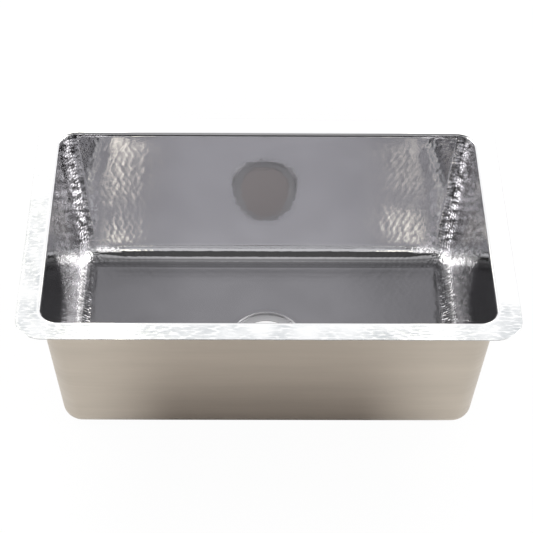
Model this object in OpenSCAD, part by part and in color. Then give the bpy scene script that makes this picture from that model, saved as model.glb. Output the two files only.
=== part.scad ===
// Hammered stainless steel sink with one deep bowl and a flat rim that goes under a worktop.
// The origin is on the ground under the middle of the drain. X runs left to right, Y front to back, Z up.

/* [Bowl] */
// Width of the opening between the end walls, at the top of the rim
opening_w = 690; // [560:2:840]
// Depth of the opening between the front and back walls, at the top of the rim
opening_d = 436; // [360:2:500]
// Radius of the bowl's upright corners
corner_r = 28; // [20:1:60]
// Height from the edge of the floor to the top of the rim
bowl_h = 262; // [160:1:300]
// How far each end wall leans in over the bowl's height
end_lean = 21; // [5:1:35]
// How far the front and back walls lean in over the bowl's height
side_lean = 24; // [5:1:35]
// Radius of the bend between the walls and the floor, on the inside
floor_bend_r = 26; // [12:1:36]
// How far the floor falls from its edge to the drain
floor_fall = 3; // [1:0.5:8]
// Thickness of the bowl's sheet
sheet_t = 1.5; // [1:0.1:2.5]
// Radius under the bend where the walls turn out to meet the rim
edge_bend_r = 2; // [0.5:0.5:6]

/* [Rim] */
// Width of the rim, from the opening to its outer edge
rim_w = 36; // [20:1:60]
// Radius of the rim's outer corners
rim_corner_r = 44; // [15:1:80]
// Thickness of the rim's plate
rim_t = 1.5; // [1:0.1:3]

/* [Drain] */
// Diameter of the drain hole
drain_d = 89; // [60:0.5:115]
// Width of the flat ledge round the hole, which carries the strainer's flange
ledge_w = 12.5; // [6:0.5:20]
// How deep the ledge lies under the floor
seat_depth = 4.5; // [4:0.5:10]
// Steepness of the step down to the ledge, in degrees
seat_slope = 75; // [45:1:85]
// Width of the flat lip that is welded into the floor
seat_lip_w = 5; // [3:0.5:15]
// Thickness of the drain seat's sheet
seat_t = 1.5; // [1:0.1:2.5]

/* [Sound pads] */
// Thickness of the rubber pads
pad_t = 3; // [1:0.5:6]
// Radius of the pads' corners
pad_corner_r = 12; // [2:1:20]
// Distance from the drain seat to each pad
pad_gap = 30; // [5:1:60]
// Distance from each pad to the edge of the floor
pad_margin = 30; // [5:1:50]

/* [Fits] */
// Gap at a welded seam between two pieces of sheet
weld_gap = 0.2; // [0.1:0.05:0.4]
// Thickness of the glue between the floor and a sound pad
glue_t = 0.2; // [0.1:0.05:0.5]

/* [Hidden] */
$fn = 96;

// Steps round each upright corner, round the bends, across the floor and across a pad
corner_steps = 8;
edge_steps = 4;
bend_steps = 8;
floor_steps = 4;
pad_steps = 3;
seat_bend_steps = 4;
// Points along the straight part of each long and short side
long_points = 14;
short_points = 8;

// Heights above the ground: the ledge, the floor at the drain and at its edge, and the top of the rim
ledge_z = seat_t;
floor_low_z = ledge_z + seat_depth;
floor_edge_z = floor_low_z + floor_fall;
rim_top_z = floor_edge_z + bowl_h;

// Turned-out edge: its radius on the side that shows, and the height of the bend's centre
edge_r = edge_bend_r + sheet_t;
edge_center_z = rim_top_z - edge_r;
floor_bend_z = floor_edge_z + floor_bend_r;
// A corner of the floor never gets sharper than this
least_corner_r = 2;

// Drain seat: the bends' inside radius, the step's length down its slope, and the radii from the hole out
drain_r = drain_d / 2;
seat_bend_r = seat_t / 2;
seat_bends = 2 * seat_bend_r + seat_t;
step_slope_l = (seat_depth - seat_bends * (1 - cos(seat_slope))) / sin(seat_slope);
step_w = seat_bends * sin(seat_slope) + step_slope_l * cos(seat_slope);
ledge_r = drain_r + ledge_w;
recess_r = ledge_r + step_w;
seat_r = recess_r + seat_lip_w;
seat_hole_r = seat_r + weld_gap;
// The floor is level in a narrow land round the seat's hole, and the blank reaches this far inside the hole
land_w = 6;
blank_w = 4;

// How far the wall leans in at a height, before any bend
function lean_at(z, lean) = lean * (rim_top_z - z) / bowl_h;

// How far the sheet lies inside the opening at a height: t is 0 for the face that shows, sheet_t for the back
function inset_at(z, lean, t) =
    let (
        tilt = atan(lean / bowl_h),
        top_r = edge_r - t,
        top_center = lean_at(edge_center_z, lean) - edge_r / cos(tilt),
        low_r = floor_bend_r + t,
        low_center = lean_at(floor_bend_z, lean) + floor_bend_r / cos(tilt)
    )
    z > edge_center_z + top_r * sin(tilt)
        ? top_center + sqrt(max(0, pow(top_r, 2) - pow(z - edge_center_z, 2)))
    : z < floor_bend_z - low_r * sin(tilt)
        ? low_center - sqrt(max(0, pow(low_r, 2) - pow(floor_bend_z - z, 2)))
    : lean_at(z, lean) - t / cos(tilt);

// Half the size of the bowl's outline at a height, and the radius of its corners, for one direction
function half_size(size, z, lean, t) = size / 2 - inset_at(z, lean, t);
function corner_at(z, lean, t) = max(least_corner_r, corner_r + lean_at(z, lean) - inset_at(z, lean, t));

function mix(a, b, share) = a + (b - a) * share;
function backwards(list) = [for (i = [len(list) - 1 : -1 : 0]) list[i]];

// Signs of the four corners, counter-clockwise from the back right one
corner_signs = [[1, 1], [-1, 1], [-1, -1], [1, -1]];

// One point on a corner's arc: q is the corner, turn runs from 0 to 1 along the arc
function arc_point(q, turn, half, r) =
    let (angle = 90 * (q + turn))
    [
        corner_signs[q][0] * (half[0] - r[0]) + r[0] * cos(angle),
        corner_signs[q][1] * (half[1] - r[1]) + r[1] * sin(angle)
    ];

// Outline of the bowl at one height: four arcs, with evenly spaced points along the sides between them
function outline(half, r) = [
    for (q = [0 : 3])
        let (
            side_points = q % 2 == 0 ? long_points : short_points,
            side_start = arc_point(q, 1, half, r),
            side_end = arc_point((q + 1) % 4, 0, half, r)
        )
        each concat(
            [for (k = [0 : corner_steps]) arc_point(q, k / corner_steps, half, r)],
            [for (k = [1 : side_points]) mix(side_start, side_end, k / (side_points + 1))]
        )
];

function ring_at(z, t) = [
    for (
        p = outline(
            [half_size(opening_w, z, end_lean, t), half_size(opening_d, z, side_lean, t)],
            [corner_at(z, end_lean, t), corner_at(z, side_lean, t)]
        )
    )
        [p[0], p[1], z]
];

// Heights of the rings round the turned-out edge, and round the bend to the floor
lean_tilt = atan(max(end_lean, side_lean) / bowl_h);
function edge_heights(t) = [
    for (k = [0 : edge_steps])
        edge_center_z + (edge_r - t) * sin(mix(90, lean_tilt, k / edge_steps))
];
function bend_heights(t) = [
    for (k = [0 : bend_steps])
        floor_bend_z - (floor_bend_r + t) * sin(mix(lean_tilt, 90, k / bend_steps))
];

// Round ring in the floor, with each point straight towards the drain from its point on the floor's edge
function round_ring(r, t) = [
    for (p = ring_at(floor_edge_z - t, t))
        let (reach = norm([p[0], p[1]]))
        [p[0] * r / reach, p[1] * r / reach, floor_low_z - t]
];

function wall_rings(t) = [for (z = concat(edge_heights(t), bend_heights(t))) ring_at(z, t)];

// Rings across the floor, which falls in straight lines from its edge to the land round the drain
function floor_rings(t) =
    let (edge = ring_at(floor_edge_z - t, t), land = round_ring(seat_hole_r + land_w, t))
    [for (k = [1 : floor_steps]) [for (i = [0 : len(edge) - 1]) mix(edge[i], land[i], k / floor_steps)]];

function face_rings(t) = concat(wall_rings(t), floor_rings(t), [round_ring(seat_hole_r - blank_w, t)]);

// Triangles between neighbouring rings of n points, from ring 0 to ring last
function band_faces(n, last, count) = [
    for (k = [0 : last - 1], i = [0 : n - 1])
        let (
            here = k * n,
            next = (k + 1) % count * n,
            j = (i + 1) % n
        )
        each [[here + i, next + i, next + j], [here + i, next + j, here + j]]
];

// Closed skin through rings that come back to the first one
module loft_round(rings) {
    count = len(rings);
    polyhedron(
        points = [for (ring = rings) each ring],
        faces = band_faces(len(rings[0]), count, count)
    );
}

// Solid stack of rings, closed at each end by a fan of triangles round a middle point
module loft_stack(rings, first_middle, last_middle) {
    count = len(rings);
    n = len(rings[0]);
    last = (count - 1) * n;
    polyhedron(
        points = concat([for (ring = rings) each ring], [first_middle, last_middle]),
        faces = concat(
            [for (i = [0 : n - 1]) [count * n, i, (i + 1) % n]],
            band_faces(n, count - 1, count),
            [for (i = [0 : n - 1]) [count * n + 1, last + (i + 1) % n, last + i]]
        )
    );
}

module rounded_rectangle(w, d, r) {
    square([w - 2 * r, d], center = true);
    square([w, d - 2 * r], center = true);
    for (x = [-1, 1], y = [-1, 1])
        translate([x * (w / 2 - r), y * (d / 2 - r)])
            circle(r);
}

// Bowl: one sheet lofted from the turned-out edge down the walls, round the bend and across the floor
module bowl() {
    color("silver")
        difference() {
            loft_round(concat(face_rings(0), backwards(face_rings(sheet_t))));
            cylinder(r = seat_hole_r, h = floor_edge_z);
        }
}

// Rim: a flat frame round the bowl's turned-out edge
module rim_flange() {
    edge_w = half_size(opening_w, rim_top_z, end_lean, 0) + weld_gap;
    edge_d = half_size(opening_d, rim_top_z, side_lean, 0) + weld_gap;
    edge_corner_r = corner_at(rim_top_z, end_lean, 0) + weld_gap;
    color("gainsboro")
        translate([0, 0, rim_top_z - rim_t])
            linear_extrude(rim_t)
                difference() {
                    rounded_rectangle(opening_w + 2 * rim_w, opening_d + 2 * rim_w, rim_corner_r);
                    rounded_rectangle(2 * edge_w, 2 * edge_d, edge_corner_r);
                }
}

// Half of the drain seat's section, from the lip in to the hole: depth is 0 on top and seat_t underneath
function seat_section(depth) =
    let (
        top_center = [recess_r, floor_low_z - seat_bend_r - seat_t],
        low_center = [ledge_r, ledge_z + seat_bend_r],
        turns = [for (k = [0 : seat_bend_steps]) mix(90, 90 + seat_slope, k / seat_bend_steps)]
    )
    concat(
        [[seat_r, floor_low_z - depth]],
        [for (a = turns) top_center + (seat_bend_r + seat_t - depth) * [cos(a), sin(a)]],
        [for (a = backwards(turns)) low_center - (seat_bend_r + depth) * [cos(a), sin(a)]],
        [[drain_r, ledge_z - depth]]
    );

// Drain seat: a pressed ring in the floor that lets the strainer's flange lie below the floor
module drain_seat() {
    color("lightgray")
        rotate_extrude()
            polygon(concat(seat_section(0), backwards(seat_section(seat_t))));
}

// Height of the floor's underside at a place, on the straight fall from the floor's edge to the drain
function under_floor_z(x, y) =
    let (
        edge_z = floor_edge_z - sheet_t,
        reach = norm([x, y]),
        end_reach = half_size(opening_w, edge_z, end_lean, sheet_t) * reach / max(abs(x), 1),
        side_reach = half_size(opening_d, edge_z, side_lean, sheet_t) * reach / max(abs(y), 1),
        edge_reach = min(end_reach, side_reach)
    )
    edge_z - floor_fall * (edge_reach - reach) / (edge_reach - seat_hole_r - land_w);

// Sound pad: a rubber sheet glued under the floor and following its fall, side is 1 on the right
module sound_pad(side) {
    edge_z = floor_edge_z - sheet_t;
    inner_x = seat_r + pad_gap;
    outer_x = half_size(opening_w, edge_z, end_lean, sheet_t) - pad_margin;
    middle_x = side * (inner_x + outer_x) / 2;
    half = [(outer_x - inner_x) / 2, half_size(opening_d, edge_z, side_lean, sheet_t) - pad_margin];
    corner = min(pad_corner_r, half[0], half[1]) * [1, 1];
    function pad_point(x, y, drop) = [x, y, under_floor_z(x, y) - glue_t - drop];
    function pad_ring(share, drop) = [
        for (p = outline(half, corner)) pad_point(middle_x + share * p[0], share * p[1], drop)
    ];
    function pad_face(drop) = [for (k = [1 : pad_steps]) pad_ring(k / pad_steps, drop)];
    color("dimgray")
        loft_stack(
            concat(pad_face(0), backwards(pad_face(pad_t))),
            pad_point(middle_x, 0, 0),
            pad_point(middle_x, 0, pad_t)
        );
}

module pad_left() {
    sound_pad(-1);
}

module pad_right() {
    sound_pad(1);
}

bowl();
rim_flange();
drain_seat();
pad_left();
pad_right();
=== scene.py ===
import math

import bpy
import numpy as np
from mathutils import Matrix, Vector


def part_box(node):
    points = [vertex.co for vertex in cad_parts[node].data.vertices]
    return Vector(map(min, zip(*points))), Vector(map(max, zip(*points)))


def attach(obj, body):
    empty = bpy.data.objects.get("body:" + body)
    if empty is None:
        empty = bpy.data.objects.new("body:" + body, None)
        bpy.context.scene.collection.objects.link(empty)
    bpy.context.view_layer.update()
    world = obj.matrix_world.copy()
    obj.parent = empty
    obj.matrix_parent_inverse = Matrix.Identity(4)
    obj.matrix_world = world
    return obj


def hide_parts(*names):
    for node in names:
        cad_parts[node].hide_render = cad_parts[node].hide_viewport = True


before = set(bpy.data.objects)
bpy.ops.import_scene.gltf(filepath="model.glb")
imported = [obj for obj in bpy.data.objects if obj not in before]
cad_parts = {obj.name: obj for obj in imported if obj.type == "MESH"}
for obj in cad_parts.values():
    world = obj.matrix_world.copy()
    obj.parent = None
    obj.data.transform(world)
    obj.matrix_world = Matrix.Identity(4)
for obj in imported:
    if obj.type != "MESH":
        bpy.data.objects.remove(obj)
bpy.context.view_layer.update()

# Hammered stainless steel sink: its looks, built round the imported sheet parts.
# Lengths are in millimetres until a mesh is made, and X runs left to right, Y front to back, Z up.
MM = 0.001
SEED = 26

# Heights and outlines that the frame gives
rim_top_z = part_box("rim_flange")[1].z / MM
rim_half_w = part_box("rim_flange")[1].x / MM
rim_half_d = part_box("rim_flange")[1].y / MM
edge_half_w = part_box("bowl")[1].x / MM
edge_half_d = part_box("bowl")[1].y / MM
floor_low_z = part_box("drain_seat")[1].z / MM
seat_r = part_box("drain_seat")[1].x / MM

# Bowl, as in the source
opening_w = 690.0
opening_d = 436.0
corner_r = 28.0
end_lean = 21.0
side_lean = 24.0
floor_bend_r = 26.0
floor_fall = 3.0
sheet_t = 1.5
edge_bend_r = 2.0
least_corner_r = 2.0
weld_gap = 0.2

floor_edge_z = floor_low_z + floor_fall
bowl_h = rim_top_z - floor_edge_z
edge_r = edge_bend_r + sheet_t
edge_center_z = rim_top_z - edge_r
floor_bend_z = floor_edge_z + floor_bend_r
lean_tilt = math.atan(max(end_lean, side_lean) / bowl_h)

# Rim
rim_corner_r = 44.0
rim_t = 1.5

# Drain seat
drain_r = 44.5
ledge_r = 57.0
seat_t = 1.5
seat_slope = math.radians(75.0)
ledge_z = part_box("drain_seat")[0].z / MM + seat_t
seat_bend_r = seat_t / 2.0
seat_lip_w = 5.0
recess_r = seat_r - seat_lip_w
hole_round = 0.5
seat_hole_r = seat_r + weld_gap
land_w = 6.0
land_r = seat_hole_r + land_w

# Sound pads
pad_t = 3.0
pad_corner_r = 12.0
pad_gap = 30.0
pad_margin = 30.0
glue_t = 0.2
pad_round = 0.9

# The long walls are bowed outwards a little: how far, at shares of the way from the edge to the floor
bow_shares = (0.0, 0.234, 0.42, 0.6, 0.8, 1.0)
bow_depths = (0.0, 3.1, 5.6, 6.6, 4.7, 0.0)
# Towards both ends of the wall the bow grows shallower by this share
bow_end_share = 0.5
# The bend under a long wall isn't quite round: each band has its turn of the bend and its width, in
# degrees, and how far it stands in. The bands end this far above the floor's edge, along the sheet
bend_bands = ((16.5, 9.0, 0.53), (37.3, 14.8, 1.13), (64.3, 11.0, -0.12))
bands_end = 3.0
# A shallow groove runs round the floor where the bend was pressed deepest
groove_depth = 0.2
groove_w = 8.0

# Mesh steps of the bowl: cells along the front, along an end, down a wall, and round its two bends
long_cells = 216
short_cells = 132
wall_cells = 60
# Cells lie this many times closer together at the corners than in the middle of a side, less one
corner_density = 1.3
edge_cells = 5
bend_cells = 26
# Rings round the drain fill a square window in the floor's grid, which reaches this far from the middle
drain_cells = 6
drain_window = 78.0
# Rim: cells along its front, along an end and across it. Then cells round the drain seat
rim_long_cells = 470
rim_short_cells = 300
rim_width_cells = 26
seat_rounds = 192
# Outer skin: cells round its edge, down its wall and round its bend, and along its front and an end
outer_steps = (4, 16, 8)
outer_cells = (60, 40)
# Cells round the drain seat's bends and its hole's edge, and the pads' rings, the first at this share
seat_bend_cells = 9
hole_edge_cells = 8
pad_first_ring = 0.04
pad_rings = 24
pad_edge_cells = 5
pad_cells = (60, 90)

# Hammer marks: how far apart their rows and columns are, the radius of each dish, and how unevenly they
# fall. They are shallow on the flat walls and the floor, and deep where a corner was beaten round.
mark_pitch = 10.5
mark_round_r = 300.0
mark_wander = 0.2
mark_lift = 0.005
mark_tilt = 0.002
mark_rows = 96
flat_mark_columns = 97
# Numbers of the column and row at the sink's middle, for the floor's marks and for the rim's strokes
floor_marks_start = (200.0, 100.0)
rim_strokes_start = (200.0, 96.0)
corner_mark_r = 48.0
end_mark_r = 170.0
end_marks_from = 120.0
end_marks_to = 230.0
# How hard the bends and the end walls were worked, as a share of the corners. An end wall changes from its
# front share to its back share between two places, and a corner is fully worked past a turn, in radians
end_bend_share = 0.04
long_bend_share = 0.05
front_end_share = 0.06
back_end_share = 0.75
end_change = (-40.0, 40.0)
full_corner_turn = 0.5
# Fine marks of the finishing hammer, as relief in the finish
fine_pitch = 6.5
fine_round_r = 20.0
# Strokes on the rim are longer from left to right than from front to back
rim_mark_length = 14.0
rim_mark_width = 4.2
rim_mark_wander = 0.34
rim_mark_round_r = 10.0
rim_mark_tilt = 0.05
rim_least_depth = 0.25
rim_most_depth = 0.55
# It was struck hardest along its front and its left side, and all over its front left corner: distances
# from its edges over which that fades
front_fade = (45.0, 90.0)
left_fade = (45.0, 120.0)
left_back_fade = (220.0, 460.0)
corner_fade = (60.0, 120.0)
# This percentage of the strokes' heights lies under its level top. The strokes die away towards the weld,
# and to a share of their depth towards the cut edge
level_percent = 97.0
weld_fade = 9.0
cut_fade = 6.0
cut_depth_share = 0.25
# The strokes carry a grey painted shade where they are deeper than this, up to this, in patches that
# follow slow waves, which lie closer together than the sheet's by these factors
hollow_from = 0.08
hollow_to = 0.27
hollow_weld_fade = 5.0
patch_waves = (-1.4, 0.6)
patch_stretch = (1.5, 3.0, 1.5)
# The sheet is left a little wavy by the hammering
wave_count = 14
wave_least = 70.0
wave_most = 190.0
wave_height = 0.06
# Width of the plain band at an edge where the marks die away
plain_band = 13.0
# How far the rim's hand-cut edge wanders inwards, and how many times each wave of it goes round the rim
cut_wander = 0.7
cut_turns = (11, 17, 23, 31, 43, 59, 83, 101)
# Section of that edge: how far each point is inside it, and how far below the rim's top. Its upper part
# follows the strokes
cut_edge = ((0.15, 0.35), (0.0, 0.75), (0.15, 1.2), (0.5, rim_t))
cut_edge_top = 0.5
# Less than any length that counts
TINY = 1e-9


def mix(a, b, share):
    """Straight mix from a to b."""
    return a + (b - a) * share


def smooth_step(low, high, x):
    """Rises from 0 at low to 1 at high along a soft S-shaped curve."""
    share = np.clip((x - low) / (high - low), 0.0, 1.0)
    return share * share * (3.0 - 2.0 * share)


# Shape of the bowl

def lean_at(z, lean):
    """A wall leans in evenly from nothing at the rim's top to its full lean at the floor's edge."""
    return lean * (rim_top_z - z) / bowl_h


def inset_at(z, lean, t):
    """How far the sheet lies inside the opening at height z, t deep in the sheet.

    A quarter turn of edge_r turns the sheet out at the top, a leaning line follows it down,
    and a quarter turn of floor_bend_r ends level with the floor.
    """
    tilt = math.atan(lean / bowl_h)
    top_r = edge_r - t
    top_center = lean_at(edge_center_z, lean) - edge_r / math.cos(tilt)
    low_r = floor_bend_r + t
    low_center = lean_at(floor_bend_z, lean) + floor_bend_r / math.cos(tilt)
    top = top_center + np.sqrt(np.maximum(0.0, top_r**2 - (z - edge_center_z) ** 2))
    low = low_center - np.sqrt(np.maximum(0.0, low_r**2 - (floor_bend_z - z) ** 2))
    wall = lean_at(z, lean) - t / math.cos(tilt)
    above = z > edge_center_z + top_r * math.sin(tilt)
    below = z < floor_bend_z - low_r * math.sin(tilt)
    return np.where(above, top, np.where(below, low, wall))


def half_size(size, z, lean, t):
    """Half the bowl's width or depth at height z, t deep in the sheet."""
    return size / 2.0 - inset_at(z, lean, t)


def corner_at(z, lean, t):
    """Corner radius at height z: it shrinks in the bend, so each lower corner is part of a ball."""
    return np.maximum(least_corner_r, corner_r + lean_at(z, lean) - inset_at(z, lean, t))


def spread_cells(cells):
    """Places of a side's cells between -1 and 1, closer together towards its corners."""
    fine = np.linspace(-1.0, 1.0, 2001)
    density = 1.0 + corner_density * smooth_step(0.5, 0.9, np.abs(fine))
    total = np.cumsum(density)
    return np.interp(mix(total[0], total[-1], np.arange(cells) / cells), total, fine)


def side_outline(half, across, r_along, r_across, cells):
    """One side of a rounded rectangle, from the middle of one corner to the middle of the next.

    It is straight in the middle, then an arc of an eighth turn. Returns how far each point lies along
    the side, how far out it is, and how far round the corner it has turned.
    """
    straight = half - r_along
    r_mean = (r_along + r_across) / 2.0
    reach = straight + r_mean * math.pi / 4.0
    d = spread_cells(cells) * reach
    turn = np.maximum(np.abs(d) - straight, 0.0) / r_mean
    along = np.sign(d) * (np.minimum(np.abs(d), straight) + r_along * np.sin(turn))
    out = across - r_across + r_across * np.cos(turn)
    return along, out, turn


def rounded_ring(half_w, half_d, r_w, r_d, cells_w, cells_d):
    """Rounded rectangle as x, y and corner turn, counter-clockwise from the front left corner's middle."""
    along_w, out_w, turn_w = side_outline(half_w, half_d, r_w, r_d, cells_w)
    along_d, out_d, turn_d = side_outline(half_d, half_w, r_d, r_w, cells_d)
    x = np.concatenate([along_w, out_d, -along_w, -out_d], axis=-1)
    y = np.concatenate([-out_w, along_d, out_w, -along_d], axis=-1)
    turn = np.concatenate([turn_w, turn_d, turn_w, turn_d], axis=-1)
    return x, y, turn


bow_curve = np.polyfit(bow_shares, bow_depths, len(bow_shares) - 1)


def bow_at(z):
    """How far a long wall is bowed outwards at height z: a smooth curve through the bow's depths."""
    share = np.clip((edge_center_z - z) / (edge_center_z - floor_edge_z), 0.0, 1.0)
    return np.maximum(np.polyval(bow_curve, share), 0.0)


def bowl_rings(z, t, cells_w, cells_d):
    """The bowl's rings at heights z: an array of rings, points and x, y, z, and their corner turns."""
    z = z[:, None]
    half_w = half_size(opening_w, z, end_lean, t)
    corner = corner_at(z, end_lean, t)
    x, y, turn = rounded_ring(
        half_w,
        half_size(opening_d, z, side_lean, t),
        corner,
        corner_at(z, side_lean, t),
        cells_w,
        cells_d,
    )
    along = np.abs(x) / half_w
    kept = (1.0 - bow_end_share * along**6) * smooth_step(0.0, corner_r, half_w - np.abs(x))
    y = y + np.sign(y) * bow_at(z) * kept
    return np.stack([x, y, np.broadcast_to(z, x.shape)], axis=-1), turn


def bend_bands_at(x, y, z):
    """How far the bend under a long wall stands in from a round one: bell curves over its turn."""
    turn = np.degrees(np.arcsin(np.clip((floor_bend_z - z) / floor_bend_r, 0.0, 1.0)))
    height = np.zeros(np.shape(turn))
    for band_turn, band_width, band_height in bend_bands:
        height = height + band_height * np.exp(-(((turn - band_turn) / band_width) ** 2))
    from_end = half_size(opening_w, z, end_lean, 0.0) - floor_bend_r - np.abs(x)
    from_middle = np.abs(y) - floor_half_d + 2.0 * floor_bend_r
    kept = smooth_step(0.0, 2.0 * corner_r, from_end) * smooth_step(0.0, floor_bend_r, from_middle)
    return height * kept * (z < floor_bend_z + floor_bend_r)


def ring_heights(t, edge_steps, wall_steps, bend_steps):
    """Heights of the rings: by equal turns round each bend, and evenly down the wall between them."""
    edge_turns = np.linspace(math.pi / 2.0, lean_tilt, edge_steps + 1)
    bend_turns = np.linspace(lean_tilt, math.pi / 2.0, bend_steps + 1)
    edge = edge_center_z + (edge_r - t) * np.sin(edge_turns)
    bend = floor_bend_z - (floor_bend_r + t) * np.sin(bend_turns)
    wall = np.linspace(edge[-1], bend[0], wall_steps + 1)[1:-1]
    return np.concatenate([edge, wall, bend])


floor_half_w = float(half_size(opening_w, floor_edge_z, end_lean, 0.0))
floor_half_d = float(half_size(opening_d, floor_edge_z, side_lean, 0.0))
# How softly the four falls of the floor run into each other
floor_blend = 6.0


def floor_height(x, y, t=0.0):
    """Height of the floor: it falls in straight lines from its edge to a level land round the drain.

    The four falls meet softly, because the nearest edge is found with a high power mean.
    """
    share_w = np.abs(x) / (floor_half_w + t)
    share_d = np.abs(y) / (floor_half_d + t)
    share = (share_w**floor_blend + share_d**floor_blend) ** (1.0 / floor_blend)
    reach = np.hypot(x, y)
    edge_reach = reach / np.maximum(share, MM)
    fall = (edge_reach - reach) / np.maximum(edge_reach - land_r, 1.0)
    from_side = np.clip((floor_half_d + t - np.abs(y)) / groove_w, 0.0, 1.0)
    along_side = smooth_step(0.0, 3.0 * groove_w, floor_half_w - np.abs(x))
    groove = groove_depth * np.sin(math.pi * from_side) ** 2 * along_side
    return floor_edge_z - t - floor_fall * np.clip(fall, 0.0, 1.0) - groove


# Hammer marks

def hammer_dishes(
    column, row, pitch_along, pitch_across, round_r, tilt, columns, seed, wander=mark_wander,
):
    """How far the surface stands over the bottom of the nearest hammer mark.

    Each mark is a shallow dish: its height grows with the square of the distance from its centre, and
    it leans a little its own way. The centres lie in rows like bricks, each moved a little, and the
    lowest dish counts at each place.
    """
    rng = np.random.default_rng(seed)
    move = rng.uniform(-wander, wander, (2, mark_rows, columns))
    lean = rng.uniform(-tilt, tilt, (2, mark_rows, columns))
    lift = rng.uniform(0.0, mark_lift, (mark_rows, columns))
    best = np.full(np.shape(column), np.inf)
    for row_step in (-1, 0, 1):
        j = np.floor(row).astype(int) + row_step
        shift = 0.5 * (j % 2)
        for column_step in (-1, 0, 1):
            i = np.floor(column - shift).astype(int) + column_step
            place = (j % mark_rows, i % columns)
            from_column = (column - (i + 0.5 + shift + move[0][place])) * pitch_along
            from_row = (row - (j + 0.5 + move[1][place])) * pitch_across
            height = (from_column**2 + from_row**2) / (2.0 * round_r) + lift[place]
            height = height + lean[0][place] * from_column + lean[1][place] * from_row
            best = np.minimum(best, height)
    return best


def sheet_waves(points, seed):
    """Slow waves left in the sheet: a sum of sine waves with seeded directions and lengths."""
    rng = np.random.default_rng(seed)
    total = np.zeros(points.shape[:-1])
    for _ in range(wave_count):
        way = rng.normal(size=3)
        way = way / np.linalg.norm(way) * 2.0 * math.pi / rng.uniform(wave_least, wave_most)
        total += np.sin(points @ way + rng.uniform(0.0, 2.0 * math.pi))
    return total * wave_height / math.sqrt(wave_count)


# Meshes

def ring_quads(ids, inwards):
    """Faces between neighbouring closed rings of vertex numbers: inwards faces look to the middle."""
    here = ids[:-1]
    below = ids[1:]
    here_next = np.roll(here, -1, axis=1)
    below_next = np.roll(below, -1, axis=1)
    order = [here, here_next, below_next, below] if inwards else [here, below, below_next, here_next]
    return np.stack(order, axis=-1).reshape(-1, 4)


def grid_quads(ids):
    """Faces of a grid of vertex numbers, looking up; cells with a missing corner are left out."""
    quads = np.stack([ids[:-1, :-1], ids[:-1, 1:], ids[1:, 1:], ids[1:, :-1]], axis=-1).reshape(-1, 4)
    return quads[(quads >= 0).all(axis=1)]


def bridge_rings(outer, inner, outer_share, inner_share, up):
    """Triangles between two closed rings with different numbers of points.

    Walks both rings at once, and always steps on along the ring whose next halfway mark comes first.
    """
    outer_next = np.append(outer_share[1:], outer_share[0] + 1.0)
    inner_next = np.append(inner_share[1:], inner_share[0] + 1.0)
    marks = np.concatenate([(outer_share + outer_next) / 2.0, (inner_share + inner_next) / 2.0])
    on_outer = np.repeat([True, False], [len(outer), len(inner)])[np.argsort(marks, kind="stable")]
    i = np.cumsum(on_outer) - on_outer
    j = np.cumsum(~on_outer) - ~on_outer
    a = outer[i % len(outer)]
    b = inner[j % len(inner)]
    a_next = outer[(i + 1) % len(outer)]
    b_next = inner[(j + 1) % len(inner)]
    third = np.where(on_outer, a_next, b_next)
    return np.stack([a, third, b] if up else [a, b, third], axis=-1)


def ring_shares(points):
    """Share of the way round at which each point of a ring lies, by its angle from the front left."""
    start = math.atan2(-floor_half_d, -floor_half_w)
    angle = np.arctan2(points[:, 1], points[:, 0]) - start
    return np.mod(angle / (2.0 * math.pi) + TINY, 1.0)


def steel_piece(name, points, quads, triangles, sharp_angle=math.radians(35.0)):
    """One mesh object from points in millimetres, four-sided faces and triangles, shaded smooth."""
    corners = np.concatenate([quads.ravel(), triangles.ravel()]).astype(np.int32)
    starts = np.concatenate([
        np.arange(len(quads)) * 4,
        len(quads) * 4 + np.arange(len(triangles)) * 3,
    ]).astype(np.int32)
    mesh = bpy.data.meshes.new(name)
    mesh.vertices.add(len(points))
    mesh.vertices.foreach_set("co", (points * MM).astype(np.float32).ravel())
    mesh.loops.add(len(corners))
    mesh.loops.foreach_set("vertex_index", corners)
    mesh.polygons.add(len(starts))
    mesh.polygons.foreach_set("loop_start", starts)
    mesh.update(calc_edges=True)
    mesh.validate()
    mesh.shade_smooth()
    mesh.set_sharp_from_angle(angle=sharp_angle)
    piece = bpy.data.objects.new(name, mesh)
    bpy.context.scene.collection.objects.link(piece)
    return piece


def keep_share(piece, name, shares):
    """Keeps a number for each point under a name for the finish. Points past the list's end get none."""
    kept = np.zeros(len(piece.data.vertices), np.float32)
    kept[:len(shares)] = shares
    piece.data.attributes.new(name, "FLOAT", "POINT").data.foreach_set("value", kept)


def lay_sheet_map(piece, corner_places, worked):
    """UV map "sheet" with each face corner's place on the unrolled sheet, and how worked each point is.

    Places are in millimetres and are kept in metres. Corners past the end of the list stay at zero.
    """
    layer = piece.data.uv_layers.new(name="sheet")
    flat = np.zeros((len(piece.data.loops), 2), np.float32)
    flat[:len(corner_places)] = corner_places * MM
    layer.data.foreach_set("uv", flat.ravel())
    keep_share(piece, "worked", worked)


NO_TRIANGLES = np.zeros((0, 3), int)


def surface_normals(grid):
    """Normals of closed rings of points, looking to the middle, from steps round and down the rings."""
    round_step = np.roll(grid, -1, axis=1) - np.roll(grid, 1, axis=1)
    down_step = np.gradient(grid, axis=0)
    normal = np.cross(round_step, down_step)
    return normal / np.maximum(np.linalg.norm(normal, axis=-1, keepdims=True), TINY)


def worked_at(walls, turn, z, bend):
    """How hard each place was worked: most in the corners, then on the end walls, then elsewhere."""
    at_end = np.abs(walls[..., 0]) > half_size(opening_w, z, end_lean, 0.0) - floor_bend_r
    in_bend = bend * np.where(at_end, end_bend_share, long_bend_share)
    worked = np.maximum(smooth_step(0.0, full_corner_turn, turn), in_bend)
    end_share = mix(front_end_share, back_end_share, smooth_step(*end_change, walls[..., 1]))
    return np.maximum(worked, np.where(at_end, end_share, 0.0))


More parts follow.
